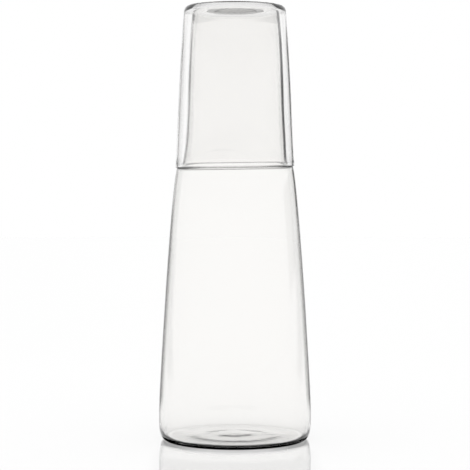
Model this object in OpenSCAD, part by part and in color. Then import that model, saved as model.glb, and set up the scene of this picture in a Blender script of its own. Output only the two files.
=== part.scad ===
// Bedside carafe with the tumbler that stands upside down over its neck and
// keeps the dust out. Both are clear glass, each blown in one piece.
// Millimetres, +Z up. The origin is on the table, at the centre of the foot.

/* [Carafe body] */
// Widest diameter, low on the body
body_d = 96; // [80:0.5:120]
// Height of that widest ring above the table
widest_h = 17; // [10:0.5:26]
// Height of the top of the shoulder's round
shoulder_h = 171.5; // [120:0.5:220]
// Diameter of the shoulder's round at its widest
shoulder_d = 73.4; // [64:0.2:80]
// Lean of the wall as it comes to the shoulder, in degrees from upright
shoulder_lean = 16; // [4:1:30]
// Radius of the shoulder's round, outside
shoulder_round = 1.6; // [1:0.1:3]
// Thickness of the body's wall
body_wall = 0.8; // [0.6:0.1:2]
// Radius inside the body, under the shoulder
shoulder_inner_round = 1.2; // [0.8:0.1:3]
// Thickness of the glass where the shoulder turns into the neck
shoulder_wall = 0.8; // [0.8:0.1:2.4]

/* [Carafe foot] */
// How far the standing ring lies in from the body's widest ring
foot_inset = 6; // [4:0.1:10]
// How square the foot's round is, where 1 is an oval
foot_fullness = 1.7; // [1:0.1:2]
// Width of the ring that touches the table
foot_w = 1.5; // [0.5:0.1:4]
// Thickness of the floor at the edge, beside the round inner corner
floor_edge_wall = 1.6; // [1.4:0.1:4]
// Width of the round inner corner
inner_corner_w = 6; // [3:0.5:12]
// Thickness of the floor at its middle
floor_wall = 2; // [1.4:0.1:6]
// How far the underside is pushed up in the middle
punt_h = 0.7; // [0.4:0.1:3]
// Width of the nearly level band between the standing ring and the push-up
punt_band_w = 13; // [6:0.5:18]
// Height of the underside where that band ends
punt_band_h = 0.1; // [0.1:0.1:0.3]
// Diameter of the round mark in the middle, where the glass was sealed off
carafe_mark_d = 20; // [8:1:26]
// Depth of that mark
carafe_mark_depth = 0.1; // [0.1:0.1:0.8]

/* [Carafe neck] */
// How far the neck stands in from the shoulder's widest round
neck_step = 4; // [3.2:0.1:4.8]
// Radius of the hollow round from shoulder to neck, outside
neck_round = 2; // [1.5:0.1:3]
// Height of the mouth above the shoulder
neck_h = 97.1; // [60.1:0.5:120.1]
// Diameter of the mouth, outside
mouth_d = 54.2; // [44:0.2:62]
// Thickness of the neck's wall
neck_wall = 1.2; // [0.8:0.1:2]
// Length over which the wall thins out above the shoulder
shoulder_fade_l = 8; // [6:1:30]
// Thickness of the bead that fire-polishing leaves at the lip
lip_wall = 1.7; // [1:0.1:2.6]
// Length over which that bead fades into the wall
lip_bead_l = 8; // [5:0.5:14]
// Lean of the neck's wall at its foot, in degrees from upright
neck_foot_lean = 6; // [0:1:10]
// Lean of the neck's wall at the mouth, in degrees from upright
mouth_lean = 6; // [0:1:10]

/* [Tumbler] */
// How far the tumbler's rim stands out past the shoulder
rim_overhang = 0.6; // [0.3:0.05:0.9]
// Thickness of the tumbler's wall
tumbler_wall = 0.8; // [0.6:0.1:1.6]
// Thickness of the fire-polished bead at its rim
rim_wall = 1.2; // [1:0.1:2]
// Length over which that bead fades into the wall
rim_bead_l = 4; // [3:0.5:10]
// Thickness of the tumbler's base
tumbler_base_wall = 1.5; // [1.2:0.1:8]
// Radius of the tumbler's outer base corner
base_round = 4; // [2:0.1:6]
// Radius of the tumbler's inner base corner
base_inner_round = 3.3; // [1:0.1:6]
// Lean of the wall at the rim, in degrees from upright
rim_lean = 3; // [0:0.5:6]
// Lean of the wall at the base, in degrees from upright
base_lean = 4.5; // [0:0.5:8]
// Depth of the shallow recess under the base
recess_depth = 0.5; // [0.2:0.1:0.8]
// Width of the flat ring that the tumbler stands on when it is in use
tumbler_foot_w = 3; // [1:0.1:5]
// Width of the slope from that ring into the recess
recess_slope_w = 3; // [1:0.1:5]
// Diameter of the sealed-off mark in the recess
tumbler_mark_d = 11; // [5:1:18]
// Depth of that mark
tumbler_mark_depth = 0.2; // [0.1:0.1:0.4]

/* [Fit] */
// Gap between the tumbler's rim and the shoulder that carries it
seat_gap = 0.1; // [0.05:0.05:0.5]
// Gap between the mouth and the tumbler's inside base
mouth_gap = 1.8; // [0.5:0.1:6]
// Gap all round between the mouth and the tumbler's wall
side_gap = 4; // [1.5:0.1:6]

/* [Hidden] */
// Clear glass with the faintest cool tint
glass = [0.93, 0.96, 0.95, 0.4];
// Sides of a full turn in the drawn model
turn_sides = 120;
// Straight steps along a round, a mark and a long wall
round_steps = 10;
mark_steps = 8;
wall_steps = 26;
// How far along its height a wall keeps its lean, from its lower and its upper end
body_hold_shares = [0.12, 0.075];
neck_hold_shares = [0.4, 0.4];
tumbler_hold_shares = [0.4, 0.4];

body_r = body_d / 2;
foot_r = body_r - foot_inset;
mouth_r = mouth_d / 2;
mouth_h = shoulder_h + neck_h;
lip_r = lip_wall / 2;

// Centres of the shoulder's outer round and of the hollow round that follows it.
// The two rounds touch, so the glass turns from one into the other without a step.
shoulder_c = [shoulder_d / 2 - shoulder_round, shoulder_h - shoulder_round];
neck_foot_r = shoulder_d / 2 - neck_step;
neck_c_r = neck_foot_r + neck_round * cos(neck_foot_lean);
neck_c = [neck_c_r, above(shoulder_c, shoulder_round + neck_round, neck_c_r)];

// Inside, the neck's round has the same centre, and the body's corner round touches it.
neck_inner_round = neck_round + shoulder_wall;
corner_c_r = shoulder_d / 2 - body_wall - shoulder_inner_round;
corner_reach = neck_inner_round + shoulder_inner_round;
corner_c = [corner_c_r, 2 * neck_c[1] - above(neck_c, corner_reach, corner_c_r)];

// Centre of the half round that ends the neck at the mouth
lip_c = [mouth_r - lip_r, mouth_h - lip_r];

// The tumbler's rim rests with its half round on the shoulder's round.
rim_r = rim_wall / 2;
rim_c_r = shoulder_d / 2 + rim_overhang - rim_r;
seated_rim_h = above(shoulder_c, shoulder_round + rim_r + seat_gap, max(rim_c_r, shoulder_c[0]));

// Height of the turned-over tumbler's base, and the centre of its rim's half round as
// the tumbler stands on that base
tumbler_top_h = mouth_h + mouth_gap + tumbler_base_wall;
rim_c = [rim_c_r, tumbler_top_h - seated_rim_h];
// Radius of the tumbler's outside at its base corner
base_r = mouth_r + side_gap + tumbler_wall;

// Height of a point at radius r that lies reach away from the point c, on its upper side
function above(c, reach, r) = c[1] + sqrt(pow(reach, 2) - pow(r - c[0], 2));

// Angle, seen from the point c, at which the point p lies
function angle_to(c, p) = atan2(p[1] - c[1], p[0] - c[0]);

// The point at the angle a on a round about c. The size of a circle is its radius, and
// that of an oval is its half width and half height.
function on_round(c, size, a) =
    c + (is_list(size) ? [size[0] * cos(a), size[1] * sin(a)] : size * [cos(a), sin(a)]);

// Points along such a round from the angle a to the angle b
function round_off(c, size, a, b) =
    [for (i = [0 : round_steps]) on_round(c, size, a + (b - a) * i / round_steps)];

// Points from the bottom of a corner about c out to its side. It is fuller than an oval
// of that half width and half height.
function full_round(c, size, fullness) =
    [for (i = [0 : round_steps])
        let (a = 90 * i / round_steps)
        c + [size[0] * pow(sin(a), 1 / fullness), -size[1] * pow(cos(a), 1 / fullness)]];

// Points after a and up to b that start and end level, as on a softly pressed mark
function soft_step(a, b) =
    [for (i = [1 : mark_steps])
        let (t = i / mark_steps)
        [a[0] + (b[0] - a[0]) * t, a[1] + (b[1] - a[1]) * (1 - cos(180 * t)) / 2]];

// Points between a and b on a blown wall. It leaves each end at its lean from upright,
// leaning in as it rises, and keeps that lean for its share of the height.
function blown_wall(a, b, leans, hold_shares) =
    let (
        rise = b[1] - a[1],
        a_hold = a + hold_shares[0] * rise * [-tan(leans[0]), 1],
        b_hold = b - hold_shares[1] * rise * [-tan(leans[1]), 1]
    )
    [for (i = [1 : wall_steps - 1])
        let (t = i / wall_steps, s = 1 - t)
        pow(s, 3) * a + 3 * pow(s, 2) * t * a_hold + 3 * s * pow(t, 2) * b_hold + pow(t, 3) * b];

// 1 at no distance, falling softly to 0 over that length
function fade(distance, length) = (1 + cos(180 * min(max(distance / length, 0), 1))) / 2;

// Thickness of the neck's wall at the height h: more at the shoulder and in the lip's bead
function neck_wall_at(h) =
    neck_wall
    + (shoulder_wall - neck_wall) * fade(h - neck_c[1], shoulder_fade_l)
    + (lip_wall - neck_wall) * fade(lip_c[1] - h, lip_bead_l);

// Thickness of the tumbler's wall at the height h above its base: more in the rim's bead
function tumbler_wall_at(h) =
    tumbler_wall + (rim_wall - tumbler_wall) * fade(rim_c[1] - h, rim_bead_l);

// The same points in the other direction
function reversed(points) = [for (i = [len(points) - 1 : -1 : 0]) points[i]];

// An underside from its middle out to its standing ring: a sealed-off mark, a raised
// middle, and a ring from which the glass comes down to the table
function underside(mark_r, mark_h, middle_h, ring, edge_r) =
    let (mark_edge = [mark_r, middle_h])
    concat(
        [[0, mark_h]],
        soft_step([0, mark_h], mark_edge),
        soft_step(mark_edge, ring),
        soft_step(ring, [edge_r, 0]));

// The outside of the neck's wall, between the hollow round and the lip
function neck_outside() =
    blown_wall(
        on_round(neck_c, neck_round, 180 + neck_foot_lean),
        on_round(lip_c, lip_r, mouth_lean),
        [neck_foot_lean, mouth_lean],
        neck_hold_shares);

// The carafe's outside, from the middle of its underside up to its lip
function carafe_outside() =
    let (
        standing_r = foot_r - foot_w,
        wall_top = on_round(shoulder_c, shoulder_round, shoulder_lean),
        turn = angle_to(shoulder_c, neck_c)
    )
    concat(
        underside(carafe_mark_d / 2, punt_h + carafe_mark_depth, punt_h,
            [standing_r - punt_band_w, punt_band_h], standing_r),
        full_round([foot_r, widest_h], [foot_inset, widest_h], foot_fullness),
        blown_wall([body_r, widest_h], wall_top, [0, shoulder_lean], body_hold_shares),
        round_off(shoulder_c, shoulder_round, shoulder_lean, turn),
        round_off(neck_c, neck_round, 180 + turn, 180 + neck_foot_lean),
        neck_outside());

// The carafe's inside, from the middle of its floor up to its lip
function carafe_inside() =
    let (
        floor_middle = [0, punt_h + carafe_mark_depth + floor_wall],
        floor_r = body_r - body_wall - inner_corner_w,
        wall_foot = [floor_r + inner_corner_w, widest_h],
        wall_top = on_round(corner_c, shoulder_inner_round, shoulder_lean),
        turn = angle_to(corner_c, neck_c)
    )
    concat(
        [floor_middle],
        soft_step(floor_middle, [floor_r, floor_edge_wall]),
        full_round([floor_r, widest_h], [inner_corner_w, widest_h - floor_edge_wall], foot_fullness),
        blown_wall(wall_foot, wall_top, [0, shoulder_lean], body_hold_shares),
        round_off(corner_c, shoulder_inner_round, shoulder_lean, turn),
        round_off(neck_c, neck_inner_round, 180 + turn, 180 + neck_foot_lean),
        [for (p = neck_outside()) [p[0] - neck_wall_at(p[1]), p[1]]]);

// The outside of the tumbler's wall as it stands on its base, from base corner to rim
function tumbler_wall_outside() =
    blown_wall(
        on_round([base_r - base_round, base_round], base_round, -base_lean),
        on_round(rim_c, rim_r, -rim_lean),
        [-base_lean, -rim_lean],
        tumbler_hold_shares);

// The tumbler's outside as it stands on its base, from the middle of the base to the rim
function tumbler_outside() =
    let (
        base_c = [base_r - base_round, base_round],
        standing_r = base_c[0] - tumbler_foot_w
    )
    concat(
        underside(tumbler_mark_d / 2, recess_depth + tumbler_mark_depth, recess_depth,
            [standing_r - recess_slope_w, recess_depth / 2], standing_r),
        round_off(base_c, base_round, -90, -base_lean),
        tumbler_wall_outside());

// The tumbler's inside as it stands on its base, from the middle of its floor to the rim
function tumbler_inside() =
    let (
        base_c_r = base_r - tumbler_wall - base_inner_round,
        base_c = [base_c_r, tumbler_base_wall + base_inner_round]
    )
    concat(
        [[0, tumbler_base_wall]],
        round_off(base_c, base_inner_round, -90, -base_lean),
        [for (p = tumbler_wall_outside())
            if (p[1] > base_c[1]) [p[0] - tumbler_wall_at(p[1]), p[1]]]);

// A vessel blown in one piece: its outside and inside, joined by a half round at the top
module blown(outside, inside, top_c, top_r, lean) {
    color(glass)
        rotate_extrude($fn = turn_sides)
            polygon(concat(
                outside,
                round_off(top_c, top_r, lean, 180 + lean),
                reversed(inside)));
}

// Carafe: a tapered body, a small round shoulder, and a tall neck with an open mouth
module carafe() {
    blown(carafe_outside(), carafe_inside(), lip_c, lip_r, mouth_lean);
}

// Tumbler: turned over, so that its rim stands on the shoulder and its base closes the top
module tumbler() {
    translate([0, 0, tumbler_top_h])
        rotate([180, 0, 0])
            blown(tumbler_outside(), tumbler_inside(), rim_c, rim_r, -rim_lean);
}

carafe();
tumbler();
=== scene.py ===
import math

import bpy
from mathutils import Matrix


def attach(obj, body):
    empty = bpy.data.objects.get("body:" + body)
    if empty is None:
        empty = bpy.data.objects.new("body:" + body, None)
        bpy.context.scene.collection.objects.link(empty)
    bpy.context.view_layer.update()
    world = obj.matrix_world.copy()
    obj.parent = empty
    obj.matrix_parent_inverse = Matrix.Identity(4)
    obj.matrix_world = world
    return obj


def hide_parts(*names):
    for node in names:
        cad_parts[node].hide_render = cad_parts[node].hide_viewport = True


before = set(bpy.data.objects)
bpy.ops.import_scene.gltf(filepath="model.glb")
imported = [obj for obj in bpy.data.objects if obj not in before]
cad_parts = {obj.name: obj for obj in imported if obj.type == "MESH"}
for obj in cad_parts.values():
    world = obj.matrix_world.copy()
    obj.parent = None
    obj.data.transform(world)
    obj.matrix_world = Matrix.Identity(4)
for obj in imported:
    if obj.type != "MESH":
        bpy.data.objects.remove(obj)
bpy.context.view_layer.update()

# Sizes of the pieces in metres, and leans in degrees. They are the ones that the solids are
# made from.
MM = 0.001

BODY_R = 48 * MM
WIDEST_H = 17 * MM
SHOULDER_H = 171.5 * MM
SHOULDER_R = 36.7 * MM
SHOULDER_LEAN = 16
SHOULDER_ROUND = 1.6 * MM
BODY_WALL = 0.8 * MM
SHOULDER_INNER_ROUND = 1.2 * MM
SHOULDER_WALL = 0.8 * MM

FOOT_INSET = 6 * MM
FOOT_FULLNESS = 1.7
FOOT_W = 1.5 * MM
FLOOR_EDGE_WALL = 1.6 * MM
INNER_CORNER_W = 6 * MM
FLOOR_WALL = 2 * MM
PUNT_H = 0.7 * MM
PUNT_BAND_W = 13 * MM
PUNT_BAND_H = 0.1 * MM
CARAFE_MARK_R = 10 * MM
CARAFE_MARK_DEPTH = 0.1 * MM

NECK_STEP = 4 * MM
NECK_ROUND = 2 * MM
NECK_H = 97.1 * MM
MOUTH_R = 27.1 * MM
NECK_WALL = 1.2 * MM
LIP_WALL = 1.7 * MM
LIP_BEAD_L = 8 * MM
SHOULDER_FADE_L = 8 * MM
NECK_FOOT_LEAN = 6
MOUTH_LEAN = 6

RIM_OVERHANG = 0.6 * MM
TUMBLER_WALL = 0.8 * MM
RIM_WALL = 1.2 * MM
RIM_BEAD_L = 4 * MM
TUMBLER_BASE_WALL = 1.5 * MM
BASE_ROUND = 4 * MM
BASE_INNER_ROUND = 3.3 * MM
RIM_LEAN = 3
BASE_LEAN = 4.5
RECESS_DEPTH = 0.5 * MM
TUMBLER_FOOT_W = 3 * MM
RECESS_SLOPE_W = 3 * MM
TUMBLER_MARK_R = 5.5 * MM
TUMBLER_MARK_DEPTH = 0.2 * MM

SEAT_GAP = 0.1 * MM
MOUTH_GAP = 1.8 * MM
SIDE_GAP = 4 * MM

# How far a wall holds the lean of its lower and of its upper end, as shares of its rise
BODY_HOLD_SHARES = (0.12, 0.075)
NECK_HOLD_SHARES = (0.4, 0.4)
TUMBLER_HOLD_SHARES = (0.4, 0.4)

# Steps along a round, a soft mark and a long wall, and sides of a full turn
ROUND_STEPS = 18
MARK_STEPS = 14
WALL_STEPS = 60
TURN_SIDES = 192

# Points nearer to each other than this become one, on an outline and on a turned wall
OUTLINE_MERGE_DISTANCE = 0.01 * MM
WALL_MERGE_DISTANCE = 0.002 * MM

# Unevenness of the blown walls, always inwards: how deep and how long, how far from the
# axis it is full, and what one seed shifts it by
RIPPLE_DEPTH = 0.05 * MM
RIPPLE_L = 55 * MM
RIPPLE_FULL_R = 10 * MM
SEED_STEP = 7.3
CARAFE_SEED = 3
TUMBLER_SEED = 5

# The seat was cut a little out of level, and the neck stands a little aside above it.
SEAT_SLOPE = 0.015
SEAT_REACH = 35 * MM
NECK_SHIFT = 0.6 * MM
NECK_SHIFT_RISE = 20 * MM

# The tint of the glass, the painted shade that darkens it from where the eye goes straight
# through (0) to where it glances along the wall (1), and how much deeper the neck's painted
# shade is in the east
GLASS_IOR = 1.47
CLEAR_TINT = (0.982, 0.978, 0.969, 1.0)
TUMBLER_TINT = (0.988, 0.986, 0.984, 1.0)
EDGE_SHADES = [
    (0, 1), (0.3, 0.99), (0.6, 0.95), (0.79, 0.9),
    (0.82, 0.1), (0.89, 0.1), (0.95, 0.9), (1, 1),
]
NECK_EDGE_SHADES = [
    (0, 1), (0.65, 1), (0.68, 0.78), (0.715, 0.45),
    (0.79, 0.45), (0.84, 0.85), (1, 0.95),
]
NECK_EAST_DEPTH = 6
TUMBLER_EDGE_SHADES = [(0, 1), (0.8, 0.99), (0.9, 0.95), (1, 0.8)]

# Where that darkening changes: with the wall's slope, up from the foot, from the body to what
# is above the seat, towards the east and between the wall's two sides
LEVEL_SLOPES = (0.35, 0.6)
FOOT_HEIGHTS = (1 * MM, 12 * MM)
ABOVE_SEAT = (SHOULDER_H - 1 * MM, SHOULDER_H + 6 * MM)
EAST_SIDE = (8 * MM, 24 * MM)
OUTER_SIDE = (-1 * MM, 1 * MM)

# Faint streaks in the glass, drawn out upwards as it was blown: how wide, long and deep
STREAK_W = 14 * MM
STREAK_L = 90 * MM
STREAK_DEPTH = 0.12 * MM

# Painted shade along the line where the tumbler's rim and the shoulder bear on each other: its
# height, its half width and how much wider it is at the sides, its fade, how dark it is and how
# much darker at the sides, and where the sides are
SEAT_LINE_H = 171.05 * MM
SEAT_LINE_W = 0.15 * MM
SEAT_LINE_SPREAD = 0.2 * MM
SEAT_LINE_FADE = 0.25 * MM
SEAT_LINE_DARK = 0.48
SEAT_LINE_SIDE = 0.5
SEAT_LINE_SIDES = (12 * MM, 33 * MM)

# Shade of the dark flags by degrees off the middle of the white backdrop, of which a list may
# name up to FLAG_REACH: low down, and above the table's edge, where the left one is lighter
FLAG_REACH = 60
LOW_FLAG = [(0, 0), (13, 0.02), (17, 0.25), (21, 0.55), (28, 0.8), (36, 0.8), (46, 0)]
HIGH_FLAG = [(0, 0), (15, 0.01), (18, 0.15), (20, 0.35), (22, 1), (31, 1), (36, 0.4), (46, 0)]
HIGH_LEFT_FLAG = [(0, 0), (21, 0.03), (24, 0.12), (25.5, 0.7), (32, 0.7), (37, 0.3), (44, 0)]

# Degrees at which the flags change from low to high and from left to right, and end at the
# top, between which a flag far to the right shows in gloss, and from which the ceiling is shaded
FLAG_HEIGHTS = (-0.3, 1.0)
FLAG_SIDES = (-1.0, 1.0)
FLAG_TOP = (5.8, 7.5)
SIDE_FLAG = (50, 58, 74, 82)
CEILING = (8, 9.8)
CEILING_SHADE = 0.18

# The table glows a little, so that it is as white as the backdrop. Seen through glass at a
# low angle it shows a painted reflection of the dark flags, from a little behind the object on.
TABLE_R = 3
TABLE_SIDES = 96
TABLE_GLOW = 0.6
BEHIND = (80 * MM, 200 * MM)
LOW_ANGLES = (0.7, 0.82)

# Mirror-like share of the table, how much less of it there is just before the foot, and how
# dark the faint shade in front of the carafe is, between its two ends and its sides
TABLE_GLOSS = 0.6
FRONT_GLOSS_LACK = 0.55
BEFORE_FOOT = (BODY_R + 8 * MM, BODY_R + 16 * MM)
FRONT_SHADE = 0.045
FRONT_SHADE_ENDS = (-240 * MM, -120 * MM, -48 * MM, -40 * MM)
FRONT_SHADE_SIDES = (42 * MM, 52 * MM)

# Painted shadow on the table under the foot's round corner: from this radius on, further out at
# the sides once the light has passed several walls, as far as the gap and the glass above it
# reach, and hardly at all at the back
CONTACT_R = 39.2 * MM
SIDE_CONTACT_LACK = 3.8 * MM
CONTACT_SIDES = (15 * MM, 38 * MM)
SEVERAL_WALLS = (2.0, 3.0)
GAP_R = 44 * MM
CONTACT_FADE = 0.9 * MM
FAR_CONTACT_LACK = 0.95
CONTACT_BACK = (-6 * MM, 8 * MM)

# The camera: where it stands, how many degrees it looks down, and its lens and film in mm
CAMERA_PLACE = (0, -1.03, 0.171)
CAMERA_DOWN = 2.373
LENS = 125.6
FILM_W = 36


def shifted(a, b, share):
    """The point a moved by share of the vector b."""
    return (a[0] + share * b[0], a[1] + share * b[1])


def above(centre, reach, r):
    """Height of a point at radius r that lies reach away from centre, on its upper side."""
    return centre[1] + math.sqrt(reach**2 - (r - centre[0]) ** 2)


def angle_to(centre, point):
    """Angle in degrees at which point lies, seen from centre."""
    return math.degrees(math.atan2(point[1] - centre[1], point[0] - centre[0]))


def on_round(centre, size, angle):
    """The point at an angle on an oval of that half width and half height."""
    a = math.radians(angle)
    return (centre[0] + size[0] * math.cos(a), centre[1] + size[1] * math.sin(a))


def round_off(centre, size, start, end):
    """Points along an oval from one angle to the other."""
    step = (end - start) / ROUND_STEPS
    return [on_round(centre, size, start + step * i) for i in range(ROUND_STEPS + 1)]


def full_round(centre, size, fullness):
    """Points from the bottom of a fuller than oval corner out to its side."""
    points = []
    for i in range(ROUND_STEPS + 1):
        a = math.radians(90 * i / ROUND_STEPS)
        out, down = (side ** (1 / fullness) for side in (abs(math.sin(a)), abs(math.cos(a))))
        points.append((centre[0] + size[0] * out, centre[1] - size[1] * down))
    return points


def soft_step(a, b):
    """Points after a and up to b that start and end level, as on a softly pressed mark."""
    shares = [i / MARK_STEPS for i in range(1, MARK_STEPS + 1)]
    return [
        (a[0] + (b[0] - a[0]) * t, a[1] + (b[1] - a[1]) * (1 - math.cos(math.pi * t)) / 2)
        for t in shares
    ]


def blown_wall(a, b, leans, hold_shares):
    """Points between a and b on a blown wall that leaves each end at its lean."""
    rise = b[1] - a[1]
    lower, upper = (math.tan(math.radians(lean)) for lean in leans)
    a_hold = shifted(a, (-lower, 1), hold_shares[0] * rise)
    b_hold = shifted(b, (-upper, 1), -hold_shares[1] * rise)
    points = []
    for i in range(1, WALL_STEPS):
        t = i / WALL_STEPS
        s = 1 - t
        weights = (s**3, 3 * s**2 * t, 3 * s * t**2, t**3)
        held = (a, a_hold, b_hold, b)
        points.append(tuple(sum(w * p[k] for w, p in zip(weights, held)) for k in (0, 1)))
    return points


def fade(distance, length):
    """1 at no distance, falling softly to 0 over that length."""
    return (1 + math.cos(math.pi * min(max(distance / length, 0), 1))) / 2


def inner_side(points, thickness):
    """The inner side of a wall whose outer side has these points, at thickness(height)."""
    return [(r - thickness(h), h) for r, h in points]


def circle(r):
    """The half width and half height of a true round."""
    return (r, r)


shoulder_c = (SHOULDER_R - SHOULDER_ROUND, SHOULDER_H - SHOULDER_ROUND)
neck_c_r = SHOULDER_R - NECK_STEP + NECK_ROUND * math.cos(math.radians(NECK_FOOT_LEAN))
neck_c = (neck_c_r, above(shoulder_c, SHOULDER_ROUND + NECK_ROUND, neck_c_r))
neck_inner_round = NECK_ROUND + SHOULDER_WALL
corner_c_r = SHOULDER_R - BODY_WALL - SHOULDER_INNER_ROUND
corner_reach = neck_inner_round + SHOULDER_INNER_ROUND
corner_c = (corner_c_r, 2 * neck_c[1] - above(neck_c, corner_reach, corner_c_r))
mouth_h = SHOULDER_H + NECK_H
lip_r = LIP_WALL / 2
lip_c = (MOUTH_R - lip_r, mouth_h - lip_r)
rim_r = RIM_WALL / 2
rim_c_r = SHOULDER_R + RIM_OVERHANG - rim_r
seated_rim_h = above(shoulder_c, SHOULDER_ROUND + rim_r + SEAT_GAP, rim_c_r)
tumbler_top_h = mouth_h + MOUTH_GAP + TUMBLER_BASE_WALL
rim_c = (rim_c_r, tumbler_top_h - seated_rim_h)
base_r = MOUTH_R + SIDE_GAP + TUMBLER_WALL


def underside(mark_r, mark_h, middle_h, ring, edge_r):
    """An underside from its middle out to its standing ring."""
    mark_edge = (mark_r, middle_h)
    points = [(0, mark_h)]
    points += soft_step((0, mark_h), mark_edge)
    points += soft_step(mark_edge, ring)
    points += soft_step(ring, (edge_r, 0))
    return points


def carafe_outside():
    """The carafe's outside, from the middle of its underside up to its lip."""
    foot_r = BODY_R - FOOT_INSET
    standing_r = foot_r - FOOT_W
    ring = (standing_r - PUNT_BAND_W, PUNT_BAND_H)
    wall_top = on_round(shoulder_c, circle(SHOULDER_ROUND), SHOULDER_LEAN)
    neck_bottom = on_round(neck_c, circle(NECK_ROUND), 180 + NECK_FOOT_LEAN)
    lip_side = on_round(lip_c, circle(lip_r), MOUTH_LEAN)
    turn = angle_to(shoulder_c, neck_c)
    points = underside(CARAFE_MARK_R, PUNT_H + CARAFE_MARK_DEPTH, PUNT_H, ring, standing_r)
    points += full_round((foot_r, WIDEST_H), (FOOT_INSET, WIDEST_H), FOOT_FULLNESS)
    points += blown_wall((BODY_R, WIDEST_H), wall_top, (0, SHOULDER_LEAN), BODY_HOLD_SHARES)
    points += round_off(shoulder_c, circle(SHOULDER_ROUND), SHOULDER_LEAN, turn)
    points += round_off(neck_c, circle(NECK_ROUND), 180 + turn, 180 + NECK_FOOT_LEAN)
    points += blown_wall(neck_bottom, lip_side, (NECK_FOOT_LEAN, MOUTH_LEAN), NECK_HOLD_SHARES)
    return points


def carafe_inside():
    """The carafe's inside, from the middle of its floor up to its lip."""
    floor_middle = (0, PUNT_H + CARAFE_MARK_DEPTH + FLOOR_WALL)
    floor_r = BODY_R - BODY_WALL - INNER_CORNER_W
    wall_foot = (floor_r + INNER_CORNER_W, WIDEST_H)
    corner_size = (INNER_CORNER_W, WIDEST_H - FLOOR_EDGE_WALL)
    wall_top = on_round(corner_c, circle(SHOULDER_INNER_ROUND), SHOULDER_LEAN)
    turn = angle_to(corner_c, neck_c)
    points = [floor_middle]
    points += soft_step(floor_middle, (floor_r, FLOOR_EDGE_WALL))
    points += full_round((floor_r, WIDEST_H), corner_size, FOOT_FULLNESS)
    points += blown_wall(wall_foot, wall_top, (0, SHOULDER_LEAN), BODY_HOLD_SHARES)
    points += round_off(corner_c, circle(SHOULDER_INNER_ROUND), SHOULDER_LEAN, turn)
    points += round_off(neck_c, circle(neck_inner_round), 180 + turn, 180 + NECK_FOOT_LEAN)
    outer_bottom = on_round(neck_c, circle(NECK_ROUND), 180 + NECK_FOOT_LEAN)
    outer_side = on_round(lip_c, circle(lip_r), MOUTH_LEAN)
    outer = blown_wall(outer_bottom, outer_side, (NECK_FOOT_LEAN, MOUTH_LEAN), NECK_HOLD_SHARES)
    points += inner_side(outer, neck_wall_at)
    return points


def neck_wall_at(h):
    """Thickness of the neck's wall at a height: thick at the shoulder, a bead at the lip."""
    from_shoulder = (SHOULDER_WALL - NECK_WALL) * fade(h - neck_c[1], SHOULDER_FADE_L)
    from_lip = (LIP_WALL - NECK_WALL) * fade(lip_c[1] - h, LIP_BEAD_L)
    return NECK_WALL + from_shoulder + from_lip


def tumbler_wall_at(h):
    """Thickness of the tumbler's wall, with a bead at the rim."""
    return TUMBLER_WALL + (RIM_WALL - TUMBLER_WALL) * fade(rim_c[1] - h, RIM_BEAD_L)


def tumbler_outside():
    """The tumbler's outside as it stands on its base, from the middle of the base to the rim."""
    base_c = (base_r - BASE_ROUND, BASE_ROUND)
    standing_r = base_c[0] - TUMBLER_FOOT_W
    ring = (standing_r - RECESS_SLOPE_W, RECESS_DEPTH / 2)
    wall_foot = on_round(base_c, circle(BASE_ROUND), -BASE_LEAN)
    rim_side = on_round(rim_c, circle(rim_r), -RIM_LEAN)
    mark_h = RECESS_DEPTH + TUMBLER_MARK_DEPTH
    points = underside(TUMBLER_MARK_R, mark_h, RECESS_DEPTH, ring, standing_r)
    points += round_off(base_c, circle(BASE_ROUND), -90, -BASE_LEAN)
    points += blown_wall(wall_foot, rim_side, (-BASE_LEAN, -RIM_LEAN), TUMBLER_HOLD_SHARES)
    return points


def tumbler_inside():
    """The tumbler's inside as it stands on its base, from the middle of its floor to the rim."""
    base_c = (base_r - TUMBLER_WALL - BASE_INNER_ROUND, TUMBLER_BASE_WALL + BASE_INNER_ROUND)
    outer_c = (base_r - BASE_ROUND, BASE_ROUND)
    outer_foot = on_round(outer_c, circle(BASE_ROUND), -BASE_LEAN)
    outer_side = on_round(rim_c, circle(rim_r), -RIM_LEAN)
    outer = blown_wall(outer_foot, outer_side, (-BASE_LEAN, -RIM_LEAN), TUMBLER_HOLD_SHARES)
    points = [(0, TUMBLER_BASE_WALL)]
    points += round_off(base_c, circle(BASE_INNER_ROUND), -90, -BASE_LEAN)
    above_corner = [p for p in outer if p[1] > base_c[1]]
    points += inner_side(above_corner, tumbler_wall_at)
    return points


def vessel_outline(outside, inside, top_c, top_r, lean):
    """One closed wall of glass: its outside and inside, joined by a half round at the top."""
    points = outside + round_off(top_c, circle(top_r), lean, 180 + lean) + inside[::-1]
    kept = [points[0]]
    for point in points[1:]:
        if math.dist(point, kept[-1]) > OUTLINE_MERGE_DISTANCE:
            kept.append(point)
    return kept


def set_stops(ramp, stops):
    """Gives a ramp grey stops, as pairs of a place from 0 to 1 and a brightness."""
    while len(ramp.elements) < len(stops):
        ramp.elements.new(1.0)
    for stop, (place, brightness) in zip(ramp.elements, stops):
        stop.position = place
        stop.color = (brightness, brightness, brightness, 1.0)


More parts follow.
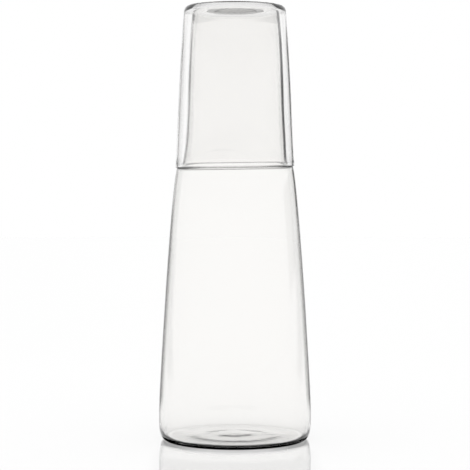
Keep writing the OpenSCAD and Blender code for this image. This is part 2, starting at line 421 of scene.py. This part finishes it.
class Value:
    """A number in a node tree. Sums written with it add Math nodes."""

    def __init__(self, tree, socket):
        self.tree = tree
        self.socket = socket

    def math(self, operation, *others):
        """The result of a Math node on this number and up to two others."""
        inputs = dict(enumerate((self, *others)))
        return self.tree.value("ShaderNodeMath", {"operation": operation}, inputs)

    def __add__(self, other):
        return self.math("ADD", other)

    def __sub__(self, other):
        return self.math("SUBTRACT", other)

    def __rsub__(self, other):
        return (self * -1) + other

    def __mul__(self, other):
        return self.math("MULTIPLY", other)

    def __truediv__(self, other):
        return self.math("DIVIDE", other)

    def __rtruediv__(self, other):
        return (self**-1) * other

    def __pow__(self, other):
        return self.math("POWER", other)

    def __abs__(self):
        return self.math("ABSOLUTE")

    def rising(self, low, high):
        """0 up to low and 1 from high on, with a soft rise between them."""
        settings = {"interpolation_type": "SMOOTHSTEP", "clamp": True}
        inputs = {"Value": self, "From Min": low, "From Max": high}
        return self.tree.value("ShaderNodeMapRange", settings, inputs)


class Tree:
    """Adds nodes to a node tree."""

    def __init__(self, node_tree):
        self.node_tree = node_tree

    def add(self, kind, settings=None, inputs=None):
        """A new node. Its settings are set first, and then its sockets are filled or linked."""
        node = self.node_tree.nodes.new(kind)
        for name, setting in (settings or {}).items():
            if name == "stops":
                set_stops(node.color_ramp, setting)
            else:
                setattr(node, name, setting)
        for name, given in (inputs or {}).items():
            self.feed(given, node.inputs[name])
        return node

    def value(self, kind, settings=None, inputs=None, output=0):
        """The output of a new node, as a number that sums can be written with."""
        return Value(self, self.add(kind, settings, inputs).outputs[output])

    def feed(self, given, socket):
        """Links what is given to a socket, or sets the socket to it."""
        if isinstance(given, Value):
            given = given.socket
        if isinstance(given, bpy.types.NodeSocket):
            self.node_tree.links.new(given, socket)
        else:
            socket.default_value = given


def lathe_tree(sizes):
    """A Geometry Nodes tree that turns an outline about the upright axis into blown glass.

    The outline lies at y = 0, from the middle of the outside to the middle of the inside.
    """
    node_tree = bpy.data.node_groups.new("Turned blown glass", "GeometryNodeTree")
    tree = Tree(node_tree)
    ports = node_tree.interface
    ports.new_socket("Outline", in_out="INPUT", socket_type="NodeSocketGeometry")
    for name, (kind, size) in sizes.items():
        port = ports.new_socket(name, in_out="INPUT", socket_type=kind)
        if size is not None:
            port.default_value = size
    ports.new_socket("Glass", in_out="OUTPUT", socket_type="NodeSocketGeometry")
    given = tree.add("NodeGroupInput").outputs
    sides = Value(tree, given["Sides"])

    counts = tree.add("GeometryNodeAttributeDomainSize", None, {0: given["Outline"]}).outputs
    points = Value(tree, counts["Point Count"])
    grid_inputs = {"Size X": 1.0, "Size Y": 1.0, "Vertices X": points, "Vertices Y": sides + 1}
    grid = tree.add("GeometryNodeMeshGrid", None, grid_inputs).outputs["Mesh"]
    flat = tree.add("GeometryNodeInputPosition").outputs[0]
    flat_parts = tree.add("ShaderNodeSeparateXYZ", None, {0: flat}).outputs
    row = ((Value(tree, flat_parts["X"]) + 0.5) * (points - 1)).math("ROUND")
    turn = (Value(tree, flat_parts["Y"]) + 0.5) * (2 * math.pi)

    sample_inputs = {"Geometry": given["Outline"], "Value": flat, "Index": row}
    sample = tree.add("GeometryNodeSampleIndex", {"data_type": "FLOAT_VECTOR"}, sample_inputs)
    on_outline = tree.add("ShaderNodeSeparateXYZ", None, {0: sample.outputs[0]}).outputs
    r = Value(tree, on_outline["X"])
    h = Value(tree, on_outline["Z"])

    # Blown glass is never quite round: a slow unevenness, always inwards.
    east = turn.math("COSINE")
    north = turn.math("SINE")
    true_place = tree.add("ShaderNodeCombineXYZ", None, {"X": r * east, "Y": r * north, "Z": h})
    noise_settings = {"noise_dimensions": "4D"}
    noise_inputs = {
        "Vector": true_place.outputs[0],
        "W": Value(tree, given["Seed"]) * SEED_STEP,
        "Scale": 1 / Value(tree, given["Ripple length"]),
        "Detail": 1.0,
    }
    unevenness = tree.value("ShaderNodeTexNoise", noise_settings, noise_inputs, "Fac")
    near_axis = (r / RIPPLE_FULL_R).math("MINIMUM", 1.0)
    uneven_r = r - unevenness * Value(tree, given["Ripple depth"]) * near_axis

    # The seat was cut a little out of level, and both pieces follow it there.
    seat_h = Value(tree, given["Seat height"])
    from_seat = abs(h - seat_h)
    near_seat = 1 - from_seat.rising(0.0, Value(tree, given["Seat reach"]))
    crook = Value(tree, given["Seat slope"]) * (uneven_r * east) * near_seat
    neck_share = h.rising(seat_h, seat_h + NECK_SHIFT_RISE)
    x = uneven_r * east + neck_share * Value(tree, given["Neck shift"])
    place_inputs = {"X": x, "Y": uneven_r * north, "Z": h + crook}
    place = tree.add("ShaderNodeCombineXYZ", None, place_inputs)
    turned = tree.add("GeometryNodeSetPosition", None, {0: grid, "Position": place.outputs[0]})
    merge_inputs = {0: turned.outputs[0], "Distance": WALL_MERGE_DISTANCE}
    closed = tree.add("GeometryNodeMergeByDistance", None, merge_inputs)
    outward = tree.add("GeometryNodeFlipFaces", None, {0: closed.outputs[0]})
    smooth = tree.add("GeometryNodeSetShadeSmooth", None, {0: outward.outputs[0]})
    real = tree.add("GeometryNodeRealizeInstances", None, {0: smooth.outputs[0]})
    finish_inputs = {0: real.outputs[0], "Material": given["Material"]}
    finish = tree.add("GeometryNodeSetMaterial", None, finish_inputs)
    tree.feed(finish.outputs[0], tree.add("NodeGroupOutput").inputs[0])
    return node_tree


def outline_object(name, points):
    """A chain of edges through the outline's points."""
    mesh = bpy.data.meshes.new(name)
    links = [(i, i + 1) for i in range(len(points) - 1)]
    mesh.from_pydata([(r, 0, h) for r, h in points], links, [])
    outline = bpy.data.objects.new(name, mesh)
    bpy.context.scene.collection.objects.link(outline)
    return outline


def blow(name, points, lathe, material, sizes):
    """Turns an outline into a plain mesh object of glass, by the lathe's node tree."""
    outline = outline_object(name + "_outline", points)
    modifier = outline.modifiers.new("Turned", "NODES")
    modifier.node_group = lathe
    identifiers = {item.name: item.identifier for item in lathe.interface.items_tree}
    modifier[identifiers["Material"]] = material
    for size_name, size in sizes.items():
        modifier[identifiers[size_name]] = size
    bpy.context.view_layer.update()
    evaluated = outline.evaluated_get(bpy.context.evaluated_depsgraph_get())
    mesh = bpy.data.meshes.new_from_object(evaluated)
    mesh.name = name
    mesh.materials.clear()
    mesh.materials.append(material)
    outline.modifiers.clear()
    bpy.data.objects.remove(outline)
    piece = bpy.data.objects.new(name, mesh)
    bpy.context.scene.collection.objects.link(piece)
    return piece


def blown_glass(name, clear_tint, low_shades, high_shades, east_depth):
    """Clear blown glass, darkened by a painted shade where the eye glances along an upright wall.

    The painted shade is on the wall's outer side alone and fades out at the foot. Above the
    seat it is deeper in the east by east_depth.
    """
    material = bpy.data.materials.new(name)
    material.use_nodes = True
    material.node_tree.nodes.clear()
    tree = Tree(material.node_tree)
    where = tree.add("ShaderNodeTexCoord").outputs
    facing = Value(tree, tree.add("ShaderNodeLayerWeight", None, {"Blend": 0.5}).outputs["Facing"])
    lie = tree.add("ShaderNodeSeparateXYZ", None, {0: where["Normal"]}).outputs
    upright = 1 - abs(Value(tree, lie["Z"])).rising(*LEVEL_SLOPES)
    place = tree.add("ShaderNodeSeparateXYZ", None, {0: where["Object"]}).outputs
    height = Value(tree, place["Z"])
    # Painted shade where the eye glances along an upright wall, faded out at the foot
    glance = facing * upright * height.rising(*FOOT_HEIGHTS)
    low = tree.value("ShaderNodeValToRGB", {"stops": low_shades}, {"Fac": glance})
    high = tree.value("ShaderNodeValToRGB", {"stops": high_shades}, {"Fac": glance})
    above_seat = height.rising(*ABOVE_SEAT)
    east, north = Value(tree, place["X"]), Value(tree, place["Y"])
    outwards = Value(tree, lie["X"]) * east + Value(tree, lie["Y"]) * north
    # The painted shade on the neck is deeper towards the east
    high = high ** (east.rising(*EAST_SIDE) * east_depth + 1)
    shade = low * (1 - above_seat) + high * above_seat
    shade = 1 - (1 - shade) * outwards.rising(*OUTER_SIDE)
    # Painted shade along the line where the rim and the shoulder meet, darker at the sides
    from_line = abs(height - east * SEAT_SLOPE - SEAT_LINE_H)
    from_middle = abs(east).rising(*SEAT_LINE_SIDES)
    seat_shade = from_middle * SEAT_LINE_SIDE + SEAT_LINE_DARK
    line_w = from_middle * SEAT_LINE_SPREAD + SEAT_LINE_W
    shade = shade * (1 - (1 - from_line.rising(line_w, line_w + SEAT_LINE_FADE)) * seat_shade)
    tint_settings = {"data_type": "RGBA", "blend_type": "MULTIPLY"}
    tint_inputs = {0: 1.0, 6: grey(tree, shade), 7: clear_tint}
    tint_and_shade = tree.add("ShaderNodeMix", tint_settings, tint_inputs)
    stretch = {"Vector": where["Object"], "Scale": (1.0, 1.0, STREAK_W / STREAK_L)}
    drawn_out = tree.add("ShaderNodeMapping", None, stretch).outputs[0]
    streak_inputs = {"Vector": drawn_out, "Scale": 1 / STREAK_W, "Detail": 2.0}
    streaks = tree.value("ShaderNodeTexNoise", None, streak_inputs, "Fac")
    wave_inputs = {"Strength": 1.0, "Distance": STREAK_DEPTH, "Height": streaks}
    waves = tree.add("ShaderNodeBump", None, wave_inputs)
    glass_inputs = {
        "Base Color": tint_and_shade.outputs[2],
        "Normal": waves.outputs[0],
        "Roughness": 0.0,
        "IOR": GLASS_IOR,
        "Transmission Weight": 1.0,
    }
    glass = tree.add("ShaderNodeBsdfPrincipled", None, glass_inputs)
    tree.add("ShaderNodeOutputMaterial", None, {"Surface": glass.outputs[0]})
    return material


def in_degrees(value):
    """An angle in radians as one in degrees."""
    return value * (180 / math.pi)


def through_glass(tree):
    """1 for a ray that has met glass or gloss on its way, and 0 for the camera's own view."""
    path = tree.add("ShaderNodeLightPath").outputs
    glossy = Value(tree, path["Is Glossy Ray"])
    return glossy.math("MAXIMUM", Value(tree, path["Is Transmission Ray"]))


def flag_shade(tree, degrees_off, shades):
    """How much a dark flag covers at an angle off the middle of the white backdrop."""
    stops = [(d / FLAG_REACH, shade) for d, shade in shades]
    return tree.value("ShaderNodeValToRGB", {"stops": stops}, {"Fac": degrees_off / FLAG_REACH})


def grey(tree, light):
    """A colour without a tint, as light as the value."""
    return tree.add("ShaderNodeCombineColor", None, {0: light, 1: light, 2: light}).outputs[0]


def floor_material():
    """A white table with a little gloss.

    Behind the object, glass shows a painted reflection of the flags in it. It has a painted
    shadow under the foot's round corner.
    """
    material = bpy.data.materials.new("White table")
    material.use_nodes = True
    material.node_tree.nodes.clear()
    tree = Tree(material.node_tree)
    place = tree.add("ShaderNodeNewGeometry").outputs["Position"]
    parts = tree.add("ShaderNodeSeparateXYZ", None, {0: place}).outputs
    x, y = Value(tree, parts["X"]), Value(tree, parts["Y"])
    aside = (abs(x) - BODY_R).math("MAXIMUM", 0.0)
    facing = Value(tree, tree.add("ShaderNodeLayerWeight", None, {"Blend": 0.5}).outputs["Facing"])
    # Painted reflection of the dark flags, seen through glass at a low angle behind the object
    mirrored = y.rising(*BEHIND) * facing.rising(*LOW_ANGLES)
    shade = flag_shade(tree, in_degrees(aside.math("ARCTAN2", y)), LOW_FLAG) * mirrored
    out = (x * x + y * y).math("SQRT")
    # Painted shadow on the table under the foot's round corner
    at_side = abs(x).rising(*CONTACT_SIDES)
    walls_passed = Value(tree, tree.add("ShaderNodeLightPath").outputs["Transmission Depth"])
    contact_r = at_side * walls_passed.rising(*SEVERAL_WALLS) * SIDE_CONTACT_LACK + CONTACT_R
    past_inner = (out - contact_r).rising(0.0, CONTACT_FADE)
    in_gap = 1 - out.rising(GAP_R, GAP_R + CONTACT_FADE)
    under_foot = 1 - out.rising(BODY_R, BODY_R + CONTACT_FADE)
    foot_shadow = past_inner * in_gap.math("MAXIMUM", under_foot * through_glass(tree))
    foot_shadow = foot_shadow * (1 - y.rising(*CONTACT_BACK) * FAR_CONTACT_LACK)
    # Faint painted shade on the table in front of the carafe
    near_front = y.rising(*FRONT_SHADE_ENDS[:2]) * (1 - y.rising(*FRONT_SHADE_ENDS[2:]))
    in_front = (1 - abs(x).rising(*FRONT_SHADE_SIDES)) * near_front
    clear = (1 - foot_shadow) * (1 - in_front * FRONT_SHADE)
    white = grey(tree, (1 - through_glass(tree) * shade) * clear)
    diffuse = tree.add("ShaderNodeBsdfDiffuse", None, {"Color": white})
    glow = tree.add("ShaderNodeEmission", None, {"Color": white, "Strength": 1.0})
    matt_inputs = {0: TABLE_GLOW, 1: diffuse.outputs[0], 2: glow.outputs[0]}
    matt = tree.add("ShaderNodeMixShader", None, matt_inputs)
    gloss_inputs = {"Color": grey(tree, clear), "Roughness": 0.0}
    gloss = tree.add("ShaderNodeBsdfGlossy", None, gloss_inputs)
    before_foot = (1 - out.rising(*BEFORE_FOOT)) * (1 - at_side)
    sheen = (1 - through_glass(tree)) * TABLE_GLOSS * (1 - before_foot * FRONT_GLOSS_LACK)
    table_inputs = {0: sheen, 1: matt.outputs[0], 2: gloss.outputs[0]}
    table = tree.add("ShaderNodeMixShader", None, table_inputs)
    tree.add("ShaderNodeOutputMaterial", None, {"Surface": table.outputs[0]})
    return material


def studio_world():
    """White all round for the eye, with dark flags that glass shows at its edges."""
    world = bpy.data.worlds.new("Studio")
    world.use_nodes = True
    world.node_tree.nodes.clear()
    tree = Tree(world.node_tree)
    way = tree.add("ShaderNodeTexCoord").outputs["Generated"]
    parts = tree.add("ShaderNodeSeparateXYZ", None, {0: way}).outputs
    x, y, z = (Value(tree, parts[name]) for name in ("X", "Y", "Z"))
    aside = in_degrees(x.math("ARCTAN2", y))
    up = in_degrees(z.math("ARCSINE"))
    high = up.rising(*FLAG_HEIGHTS)
    on_right = aside.rising(*FLAG_SIDES)
    high_flag = flag_shade(tree, abs(aside), HIGH_FLAG) * on_right
    high_left_flag = flag_shade(tree, abs(aside), HIGH_LEFT_FLAG) * (1 - on_right)
    low_flag = flag_shade(tree, abs(aside), LOW_FLAG)
    shade = low_flag * (1 - high) + (high_flag + high_left_flag) * high
    in_glass = Value(tree, tree.add("ShaderNodeLightPath").outputs["Is Transmission Ray"])
    far_aside = aside.rising(*SIDE_FLAG[:2]) * (1 - aside.rising(*SIDE_FLAG[2:]))
    shade = shade.math("MAXIMUM", far_aside * high * (1 - in_glass))
    shade = shade * (1 - up.rising(*FLAG_TOP)) + up.rising(*CEILING) * in_glass * CEILING_SHADE
    white = grey(tree, 1 - through_glass(tree) * shade)
    light = tree.add("ShaderNodeBackground", None, {"Color": white, "Strength": 1.0})
    tree.add("ShaderNodeOutputWorld", None, {"Surface": light.outputs[0]})
    return world


LATHE_SIZES = {
    "Sides": ("NodeSocketInt", TURN_SIDES),
    "Ripple depth": ("NodeSocketFloat", RIPPLE_DEPTH),
    "Ripple length": ("NodeSocketFloat", RIPPLE_L),
    "Seat height": ("NodeSocketFloat", SHOULDER_H),
    "Seat reach": ("NodeSocketFloat", SEAT_REACH),
    "Seat slope": ("NodeSocketFloat", SEAT_SLOPE),
    "Neck shift": ("NodeSocketFloat", 0.0),
    "Seed": ("NodeSocketInt", CARAFE_SEED),
    "Material": ("NodeSocketMaterial", None),
}
lathe = lathe_tree(LATHE_SIZES)
carafe_glass = blown_glass(
    "Clear blown glass", CLEAR_TINT, EDGE_SHADES, NECK_EDGE_SHADES, NECK_EAST_DEPTH
)
tumbler_glass = blown_glass(
    "Clear blown glass of the tumbler", TUMBLER_TINT, TUMBLER_EDGE_SHADES, TUMBLER_EDGE_SHADES, 0
)

carafe_points = vessel_outline(carafe_outside(), carafe_inside(), lip_c, lip_r, MOUTH_LEAN)
carafe = blow("blown_carafe", carafe_points, lathe, carafe_glass, {"Neck shift": NECK_SHIFT})
standing = vessel_outline(tumbler_outside(), tumbler_inside(), rim_c, rim_r, -RIM_LEAN)
turned_over = [(r, tumbler_top_h - h) for r, h in standing][::-1]
tumbler = blow("blown_tumbler", turned_over, lathe, tumbler_glass, {"Seed": TUMBLER_SEED})

for piece, node in ((carafe, "carafe"), (tumbler, "tumbler")):
    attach(piece, node)
    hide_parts(node)

bpy.ops.mesh.primitive_circle_add(vertices=TABLE_SIDES, radius=TABLE_R, fill_type="NGON")
floor = bpy.context.object
floor.name = "table"
floor.data.materials.append(floor_material())

bpy.context.scene.world = studio_world()

camera_data = bpy.data.cameras.new("Camera")
camera_data.sensor_width = FILM_W
camera_data.lens = LENS
camera = bpy.data.objects.new("Camera", camera_data)
camera.location = CAMERA_PLACE
camera.rotation_euler = (math.radians(90 - CAMERA_DOWN), 0, 0)
bpy.context.scene.collection.objects.link(camera)
bpy.context.scene.camera = camera
bpy.context.scene.view_settings.view_transform = "Standard"
